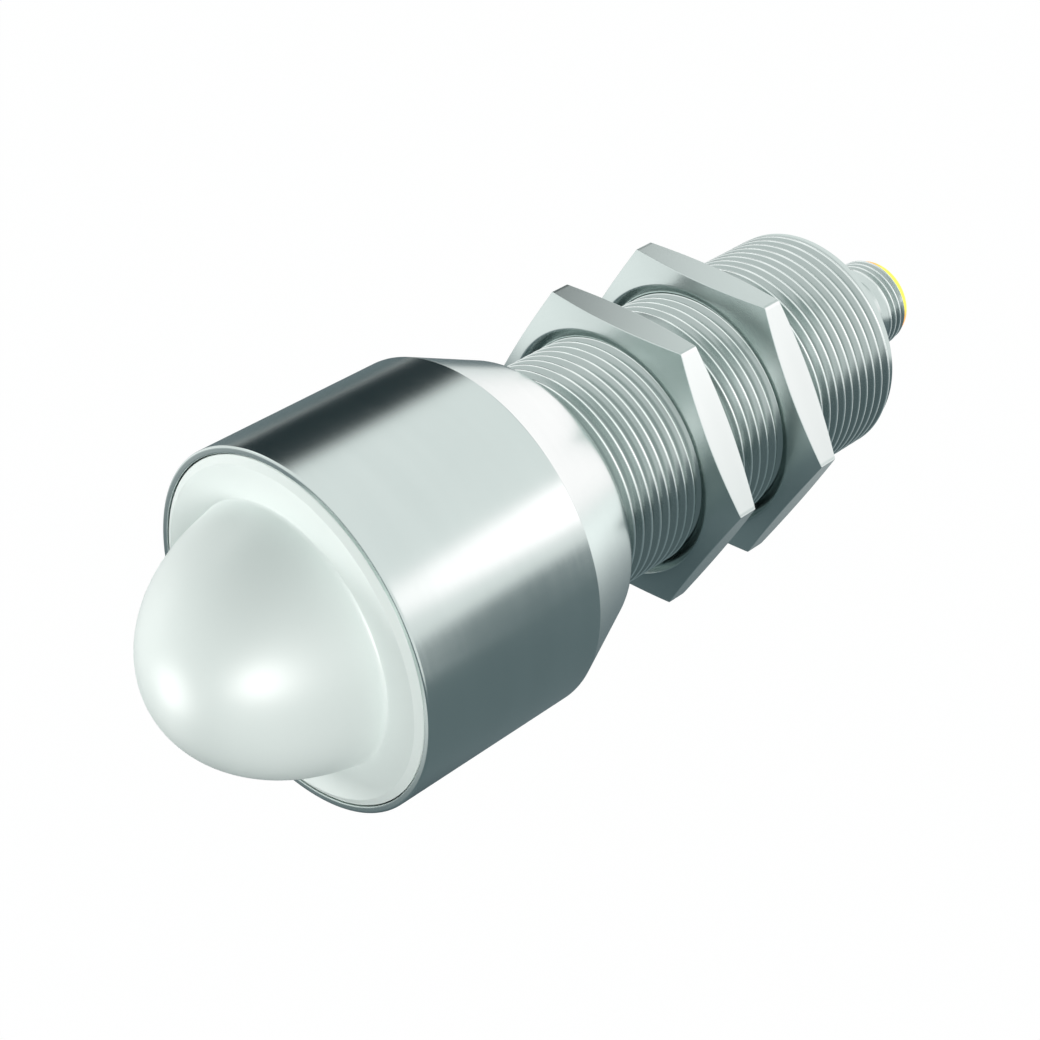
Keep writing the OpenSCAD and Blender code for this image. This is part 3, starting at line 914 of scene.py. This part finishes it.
def seen_directly(finish):
    """1 for the rays that look straight at a thing or at its mirror image, else 0."""
    path = finish.node("LightPath", output=None)
    rays = [Value(finish, path.outputs[f"Is {kind} Ray"]) for kind in ("Camera", "Glossy", "Transmission")]
    return (rays[0] + rays[1] + rays[2]).clamped()


def stage_plane(name, size):
    mesh = bmesh.new()
    bmesh.ops.create_grid(mesh, x_segments=1, y_segments=1, size=size / 2)
    data = bpy.data.meshes.new(name)
    mesh.to_mesh(data)
    mesh.free()
    piece = bpy.data.objects.new(name, data)
    bpy.context.scene.collection.objects.link(piece)
    return piece


floor = stage_plane("floor", FLOOR_SIZE)
floor.location.z = FLOOR_Z
floor_white = Finish("floor_white")
paint = floor_white.node("BsdfDiffuse", None, {"Color": (0.9, 0.9, 0.9)})
glow = floor_white.node("Emission", None, {"Color": (1.0, 1.0, 1.0), "Strength": FLOOR_GLOW})
share = FLOOR_SHARE * seen_directly(floor_white)
floor_white.shows(floor_white.node("MixShader", None, {0: share, 1: paint, 2: glow}))
floor.data.materials.append(floor_white.material)

bpy.context.scene.world = bpy.data.worlds.new("studio")
sky = Finish("studio", bpy.context.scene.world)
seen = seen_directly(sky)
level = seen.ramp(0.0, 1.0, AMBIENT, 1.0)
sky.shows(sky.node("Background", None, {"Color": sky.blend(seen, COOL, WHITE), "Strength": level}))
print("floor at", round(FLOOR_Z, 4))

# %% Cards that only reflections see
CENTRE = Vector((0.0, 0.006, 0.0))


def direction(azimuth_deg, elevation_deg):
    """Azimuth 0 is toward the lens's side, -Y, and 90 is toward +X."""
    a, e = math.radians(azimuth_deg), math.radians(elevation_deg)
    return Vector((math.sin(a) * math.cos(e), -math.cos(a) * math.cos(e), math.sin(e)))


def panel(name, colour, soft, strength):
    """A glowing oval with a soft edge, two metres wide before it is scaled."""
    piece = stage_plane(name, 2.0)
    piece.visible_camera = False
    piece.visible_diffuse = False
    piece.visible_shadow = False
    piece.visible_transmission = False
    piece.visible_volume_scatter = False
    finish = Finish(name)
    x, y, _ = finish.parts(finish.place())
    edge = (x * x + y * y).math("SQRT").ramp(1.0 - soft, 1.0, 1.0, 0.0)
    glow = finish.node("Emission", None, {"Color": colour, "Strength": strength})
    clear = finish.node("BsdfTransparent")
    finish.shows(finish.node("MixShader", None, {0: edge, 1: clear, 2: glow}))
    piece.data.materials.append(finish.material)
    return piece


def faced(piece, azimuth_deg, elevation_deg, distance, target):
    """Stands a thing in that direction from the target and turns its back Z to it."""
    way = direction(azimuth_deg, elevation_deg)
    piece.location = target + way * distance
    piece.rotation_mode = "QUATERNION"
    piece.rotation_quaternion = way.to_track_quat("Z", "Y")
    return piece


def card(name, azimuth, elevation, wide, tall, colour, soft=0.5, distance=0.6, strength=1.0):
    """A panel facing the sensor. wide and tall are half angles in degrees."""
    piece = faced(panel(name, colour, soft, strength), azimuth, elevation, distance, CENTRE)
    piece.scale = [distance * math.tan(math.radians(a)) for a in (wide, tall)] + [1.0]
    return piece


def sheet(name, x, y, wide, long, colour, soft, layer=0, strength=1.0, turn=0.0):
    """A panel lying on the table. wide and long are half sizes in metres."""
    piece = panel(name, colour, soft, strength)
    piece.location = (x, y, -TABLE_DEPTH + layer * SHEET_LIFT)
    piece.rotation_euler.z = math.radians(turn)
    piece.scale = (wide, long, 1.0)
    return piece


TABLE_DEPTH = 0.06
SHEET_LIFT = 0.001
TABLE_DARK = (0.147, 0.19, 0.203)
SHADE_DARK = (0.07, 0.10, 0.11)
FLAG_DARK = (0.012, 0.025, 0.030)
GREY = (0.42, 0.47, 0.46)
PAPER = (1.0, 1.0, 1.0)
WARM_PAPER = (1.0, 0.90, 0.92)
sheet("table_card", 0.0, 0.0, 0.3, 0.8, TABLE_DARK, 0.35)
sheet("left_sheet", -0.29, -0.12, 0.21, 0.2, PAPER, 0.4, 1, 1.15)
sheet("rim_sheet", -0.038, -0.095, 0.036, 0.036, PAPER, 0.8, 2)
sheet("rear_sheet", 0.015, 0.355, 0.22, 0.33, PAPER, 0.6, 3, 1.3)
sheet("right_strip", 0.36, 0.215, 0.30, 0.068, TABLE_DARK, 0.5, 4, turn=34)
sheet("left_strip", -0.265, 0.20, 0.155, 0.34, TABLE_DARK, 0.5, 5, turn=55)
sheet("head_shade", -0.015, -0.025, 0.04, 0.04, SHADE_DARK, 0.8, 6)
card("right_flag", 118, -2, 11, 11, TABLE_DARK, soft=0.6, distance=0.3)
card("flat_panel", 135, 10, 8, 9, WARM_PAPER, soft=0.6, distance=0.6, strength=1.4)
card("left_flag", -121, -4, 14, 8, TABLE_DARK, soft=0.6, distance=0.5)
card("top_flag", -116, 25, 27, 28, FLAG_DARK, soft=0.5, distance=0.3)
sheet("near_grey", 0.0, 0.098, 0.06, 0.05, (0.46, 0.52, 0.51), 0.4, 150)
card("left_glow", -88, 34, 14, 14, PAPER, soft=0.5, distance=0.4, strength=2.0)
card("front_grey", -8, 12, 30, 16, GREY, soft=0.5, distance=0.7)
card("key_panel", 130, 24, 15, 14, WARM_PAPER, soft=0.4, distance=0.4, strength=1.85)
card("rear_panel", -172, 4, 34, 22, WARM_PAPER, soft=0.6, distance=0.5, strength=1.55)

# %% [markdown]
# The steel shows only the cards, and the lens is lit by lamps of its own: a broad one beside
# the camera, a second one further right, one from the left, and a small low one that draws
# the bright spot near the dome's edge.

# %% Lamps for the lens
LENS_CENTRE = Vector((0.0, -0.045, 0.0))
LAMP_WARM = (1.0, 0.96, 0.95)
lit = bpy.data.collections.new("lit_by_lamps")
lit.objects.link(lens)


def lamp(name, azimuth_deg, elevation_deg, size, power, distance=0.9):
    data = bpy.data.lights.new(name, "AREA")
    data.shape = "DISK"
    data.size = size
    data.energy = power
    data.color = LAMP_WARM
    piece = bpy.data.objects.new(name, data)
    bpy.context.scene.collection.objects.link(piece)
    piece.visible_camera = False
    piece.light_linking.receiver_collection = lit
    return faced(piece, azimuth_deg, elevation_deg, distance, LENS_CENTRE)


lamp("front_right", 43, 4, 0.4, 5.7)
lamp("right_gleam", 45, 2, 0.8, 7.5).visible_diffuse = False
lamp("right_side", 80, 24, 0.5, 1.0).visible_glossy = False
lamp("front_left", -68, 7, 0.5, 7.9).visible_glossy = False
lamp("front_low", -24, -15, 0.06, 0.065, 0.1).visible_diffuse = False
